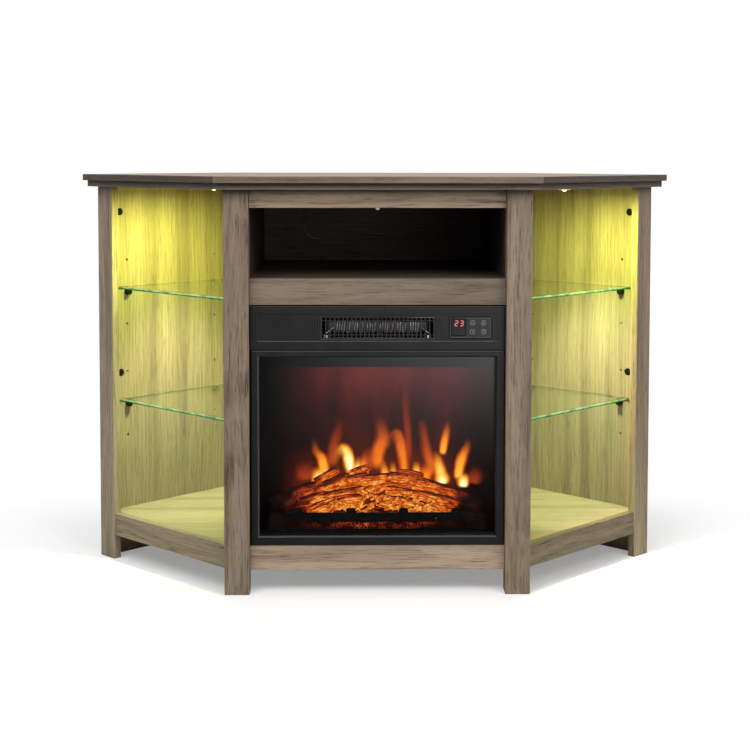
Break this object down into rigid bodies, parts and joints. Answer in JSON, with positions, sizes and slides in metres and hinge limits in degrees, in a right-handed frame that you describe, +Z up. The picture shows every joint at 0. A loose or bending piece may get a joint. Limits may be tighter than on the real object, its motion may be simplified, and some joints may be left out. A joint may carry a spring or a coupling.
{
  "type": "fireplace tv stand",
  "caption": "Corner TV stand with angled open ends, lit glass shelves, a media cubby and a framed electric fireplace insert with log set, heater grille and touch controls.",
  "frame": {"origin": "on the floor, at the middle of the stand's width and depth", "axes": "+Z up, +X to the right as seen from the front, front faces -Y"},
  "size_m": [1.14, 0.539, 0.757],
  "materials": {
    "oak": "weathered grey-brown oak laminate, satin",
    "clear_glass": "clear tempered glass with greenish edges",
    "black_plastic": "fine moulded satin black",
    "black_gloss": "gloss black panel",
    "black_steel": "matt black painted sheet steel",
    "zinc_steel": "zinc-plated sheet and turned steel",
    "mica_board": "pressed mica board",
    "white_ceramic": "unglazed white",
    "heating_alloy": "drawn nickel-chrome wire",
    "circuit_board": "green solder mask",
    "lamp_lens": "diffusing lens, lit yellow-green",
    "frosted_screen": "frosted screen, lit from behind",
    "log_resin": "cast resin logs, lit orange from below",
    "ember_resin": "cast resin embers, lit red from below"
  },
  "bodies": {
    "cabinet": {"under_top": "oak", "top_board": "oak", "bottom_rail": "oak", "middle_rail": "oak", "top_rail": "oak", "hearth_board": "oak", "cubby_shelf": "oak", "centre_back_panel": "oak", "left_front_post": "oak", "left_outer_post": "oak", "left_lower_rail": "oak", "left_partition": "oak", "left_back_panel": "oak", "left_bottom_shelf": "oak", "right_front_post": "oak", "right_outer_post": "oak", "right_lower_rail": "oak", "right_partition": "oak", "right_back_panel": "oak", "right_bottom_shelf": "oak", "left_upper_glass_shelf": "clear_glass", "left_lower_glass_shelf": "clear_glass", "right_upper_glass_shelf": "clear_glass", "right_lower_glass_shelf": "clear_glass", "front_glass": "clear_glass", "window_frame": "black_plastic", "control_fascia": "black_plastic", "heater_grille": "black_plastic", "cord_gland": "black_plastic", "control_plate": "black_gloss", "display_module": "black_gloss", "case_left": "black_steel", "case_right": "black_steel", "case_base": "black_steel", "case_top": "black_steel", "firebox_divider": "black_steel", "case_back": "black_steel", "grate_bar": "black_steel", "spindle_motor": "zinc_steel", "heater_duct": "zinc_steel", "blower_motor": "zinc_steel", "heating_card": "mica_board", "heating_terminals": "white_ceramic", "remote_receiver": "white_ceramic", "heating_wire": "heating_alloy", "control_board": "circuit_board", "lamp_board": "circuit_board", "left_display_light": "lamp_lens", "right_display_light": "lamp_lens", "flame_screen": "frosted_screen", "log_set": "log_resin", "ember_bed": "ember_resin"},
    "power_button": {"power_button": "black_plastic"},
    "timer_button": {"timer_button": "black_plastic"},
    "flame_button": {"flame_button": "black_plastic"},
    "heat_button": {"heat_button": "black_plastic"},
    "blower_wheel": {"blower_wheel": "black_steel"},
    "flame_spindle": {"flame_spindle": "zinc_steel"}
  },
  "joints": [
    {"name": "power_button_press", "type": "slide", "parent": "cabinet", "child": "power_button", "axis": [0, 1, 0], "range_m": [0, 0.0008], "stiffness_N_per_m": 400},
    {"name": "timer_button_press", "type": "slide", "parent": "cabinet", "child": "timer_button", "axis": [0, 1, 0], "range_m": [0, 0.0008], "stiffness_N_per_m": 400},
    {"name": "flame_button_press", "type": "slide", "parent": "cabinet", "child": "flame_button", "axis": [0, 1, 0], "range_m": [0, 0.0008], "stiffness_N_per_m": 400},
    {"name": "heat_button_press", "type": "slide", "parent": "cabinet", "child": "heat_button", "axis": [0, 1, 0], "range_m": [0, 0.0008], "stiffness_N_per_m": 400},
    {"name": "blower_spin", "type": "hinge", "parent": "cabinet", "child": "blower_wheel", "pos_m": [0, -0.1765, 0.4833], "axis": [1, 0, 0], "continuous": true},
    {"name": "flame_spin", "type": "hinge", "parent": "cabinet", "child": "flame_spindle", "pos_m": [0, -0.0815, 0.1313], "axis": [1, 0, 0], "continuous": true}
  ]
}
